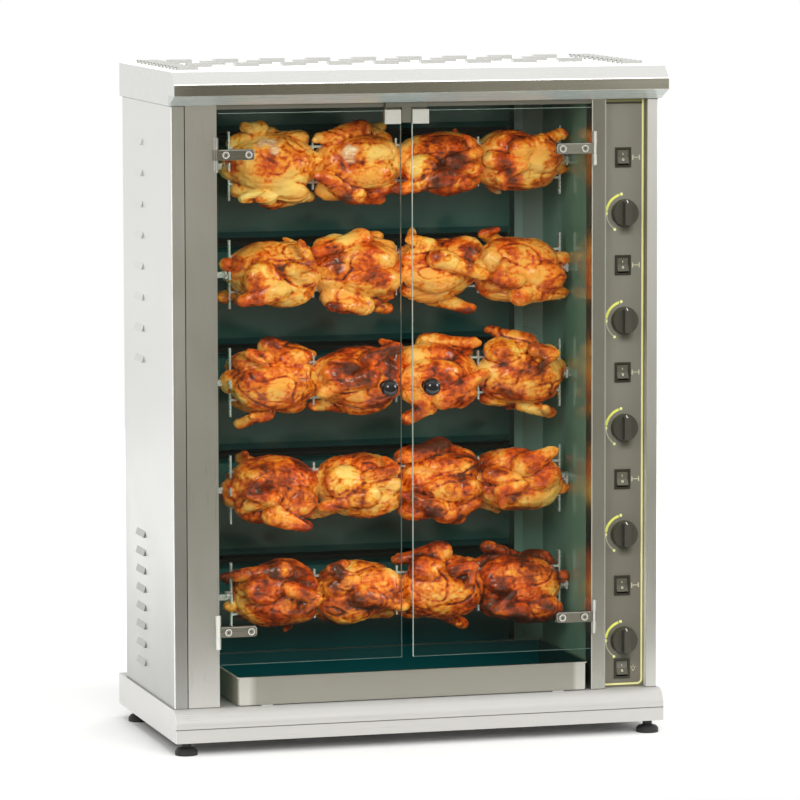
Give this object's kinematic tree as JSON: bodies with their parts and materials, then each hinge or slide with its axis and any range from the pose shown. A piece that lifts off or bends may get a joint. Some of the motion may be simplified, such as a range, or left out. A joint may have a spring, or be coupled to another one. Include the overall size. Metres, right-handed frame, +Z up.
{
  "type": "gas rotisserie",
  "caption": "Tall stainless cabinet with driven spits of birds in a glazed chamber, hinged glass doors, a drip tray that slides out, and a column of switches and gas knobs.",
  "frame": {"origin": "bottom centre of the bounding box, on the floor", "axes": "+Z up, front towards -Y, +X to the viewer's right when facing the front"},
  "size_m": [0.85, 0.45, 1.141],
  "materials": {
    "casing": "fine brushed stainless, light",
    "brushed_sheet": "brushed stainless",
    "panel_paint": "satin warm grey",
    "enamel": "glossy dark teal vitreous enamel",
    "zinc_pipe": "dull zinc",
    "valve_brass": "satin",
    "black_plastic": "fine matt",
    "rocker_plastic": "glossy",
    "catch_plastic": "matt dark brown",
    "motor_case": "satin black",
    "hinge_metal": "satin chrome",
    "spit_chrome": "bright, a little greasy",
    "door_pane": "clear toughened glass",
    "lamp_glass": "frosted",
    "knob_ball": "glossy black",
    "foot_rubber": "matt",
    "roast_skin": null
  },
  "bodies": {
    "cabinet": {"base_plinth": "casing", "leveling_feet": "foot_rubber", "left_side_panel": "casing", "right_side_panel": "casing", "back_panel": "casing", "top_cap": "casing", "left_front_pillar": "brushed_sheet", "right_front_pillar": "brushed_sheet", "control_panel": "panel_paint", "front_header": "brushed_sheet", "oven_left_wall": "enamel", "oven_right_wall": "enamel", "oven_back_wall": "enamel", "oven_ceiling": "enamel", "burner_hoods": "brushed_sheet", "burner_tubes": "brushed_sheet", "gas_manifold": "zinc_pipe", "gas_valves": "valve_brass", "mains_gland": "black_plastic", "spit_motors": "motor_case", "spit_bushes": "valve_brass", "hinge_brackets": "hinge_metal", "magnetic_catch": "catch_plastic", "switch_bezels": "black_plastic", "oven_lamp": "lamp_glass"},
    "left_door": {"left_door_glass": "door_pane", "left_hinge_plates": "hinge_metal", "left_door_knob": "knob_ball", "left_strike_clip": "hinge_metal"},
    "right_door": {"right_door_glass": "door_pane", "right_hinge_plates": "hinge_metal", "right_door_knob": "knob_ball", "right_strike_clip": "hinge_metal"},
    "tray": {"drip_tray": "brushed_sheet"},
    "spit_1": {"spit_rod_1": "spit_chrome", "spit_forks_1": "spit_chrome", "chickens_1": "roast_skin"},
    "gas_knob_1": {"burner_knob_1": "black_plastic"},
    "spit_2": {"spit_rod_2": "spit_chrome", "spit_forks_2": "spit_chrome", "chickens_2": "roast_skin"},
    "gas_knob_2": {"burner_knob_2": "black_plastic"},
    "spit_3": {"spit_rod_3": "spit_chrome", "spit_forks_3": "spit_chrome", "chickens_3": "roast_skin"},
    "gas_knob_3": {"burner_knob_3": "black_plastic"},
    "spit_4": {"spit_rod_4": "spit_chrome", "spit_forks_4": "spit_chrome", "chickens_4": "roast_skin"},
    "gas_knob_4": {"burner_knob_4": "black_plastic"},
    "spit_5": {"spit_rod_5": "spit_chrome", "spit_forks_5": "spit_chrome", "chickens_5": "roast_skin"},
    "gas_knob_5": {"burner_knob_5": "black_plastic"},
    "switch_rocker_1": {"rocker_1": "rocker_plastic"},
    "switch_rocker_2": {"rocker_2": "rocker_plastic"},
    "switch_rocker_3": {"rocker_3": "rocker_plastic"},
    "switch_rocker_4": {"rocker_4": "rocker_plastic"},
    "switch_rocker_5": {"rocker_5": "rocker_plastic"},
    "switch_rocker_6": {"rocker_6": "rocker_plastic"}
  },
  "joints": [
    {"name": "left_door_hinge", "type": "hinge", "parent": "cabinet", "child": "left_door", "pos_m": [-0.348, -0.185, 0.6055], "axis": [0, 0, -1], "range_deg": [0, 110]},
    {"name": "right_door_hinge", "type": "hinge", "parent": "cabinet", "child": "right_door", "pos_m": [0.308, -0.185, 0.6055], "axis": [0, 0, 1], "range_deg": [0, 110]},
    {"name": "tray_slide", "type": "slide", "parent": "cabinet", "child": "tray", "axis": [0, -1, 0], "range_m": [0, 0.22]},
    {"name": "spit_spin_1", "type": "hinge", "parent": "cabinet", "child": "spit_1", "pos_m": [-0.02, -0.04, 0.968], "axis": [1, 0, 0], "continuous": true},
    {"name": "spit_spin_2", "type": "hinge", "parent": "cabinet", "child": "spit_2", "pos_m": [-0.02, -0.04, 0.786], "axis": [1, 0, 0], "continuous": true},
    {"name": "spit_spin_3", "type": "hinge", "parent": "cabinet", "child": "spit_3", "pos_m": [-0.02, -0.04, 0.604], "axis": [1, 0, 0], "continuous": true},
    {"name": "spit_spin_4", "type": "hinge", "parent": "cabinet", "child": "spit_4", "pos_m": [-0.02, -0.04, 0.422], "axis": [1, 0, 0], "continuous": true},
    {"name": "spit_spin_5", "type": "hinge", "parent": "cabinet", "child": "spit_5", "pos_m": [-0.02, -0.04, 0.24], "axis": [1, 0, 0], "continuous": true},
    {"name": "knob_turn_1", "type": "hinge", "parent": "cabinet", "child": "gas_knob_1", "pos_m": [0.3665, -0.17, 0.884], "axis": [0, -1, 0], "range_deg": [0, 136]},
    {"name": "knob_turn_2", "type": "hinge", "parent": "cabinet", "child": "gas_knob_2", "pos_m": [0.3665, -0.17, 0.702], "axis": [0, -1, 0], "range_deg": [0, 136]},
    {"name": "knob_turn_3", "type": "hinge", "parent": "cabinet", "child": "gas_knob_3", "pos_m": [0.3665, -0.17, 0.52], "axis": [0, -1, 0], "range_deg": [0, 136]},
    {"name": "knob_turn_4", "type": "hinge", "parent": "cabinet", "child": "gas_knob_4", "pos_m": [0.3665, -0.17, 0.338], "axis": [0, -1, 0], "range_deg": [0, 136]},
    {"name": "knob_turn_5", "type": "hinge", "parent": "cabinet", "child": "gas_knob_5", "pos_m": [0.3665, -0.17, 0.156], "axis": [0, -1, 0], "range_deg": [0, 136]},
    {"name": "rocker_tip_1", "type": "hinge", "parent": "cabinet", "child": "switch_rocker_1", "pos_m": [0.3635, -0.162, 0.978], "axis": [1, 0, 0], "range_deg": [0, 20]},
    {"name": "rocker_tip_2", "type": "hinge", "parent": "cabinet", "child": "switch_rocker_2", "pos_m": [0.3635, -0.162, 0.796], "axis": [1, 0, 0], "range_deg": [0, 20]},
    {"name": "rocker_tip_3", "type": "hinge", "parent": "cabinet", "child": "switch_rocker_3", "pos_m": [0.3635, -0.162, 0.614], "axis": [1, 0, 0], "range_deg": [0, 20]},
    {"name": "rocker_tip_4", "type": "hinge", "parent": "cabinet", "child": "switch_rocker_4", "pos_m": [0.3635, -0.162, 0.432], "axis": [1, 0, 0], "range_deg": [0, 20]},
    {"name": "rocker_tip_5", "type": "hinge", "parent": "cabinet", "child": "switch_rocker_5", "pos_m": [0.3635, -0.162, 0.25], "axis": [1, 0, 0], "range_deg": [0, 20]},
    {"name": "rocker_tip_6", "type": "hinge", "parent": "cabinet", "child": "switch_rocker_6", "pos_m": [0.3635, -0.162, 0.1075], "axis": [1, 0, 0], "range_deg": [0, 20]}
  ]
}
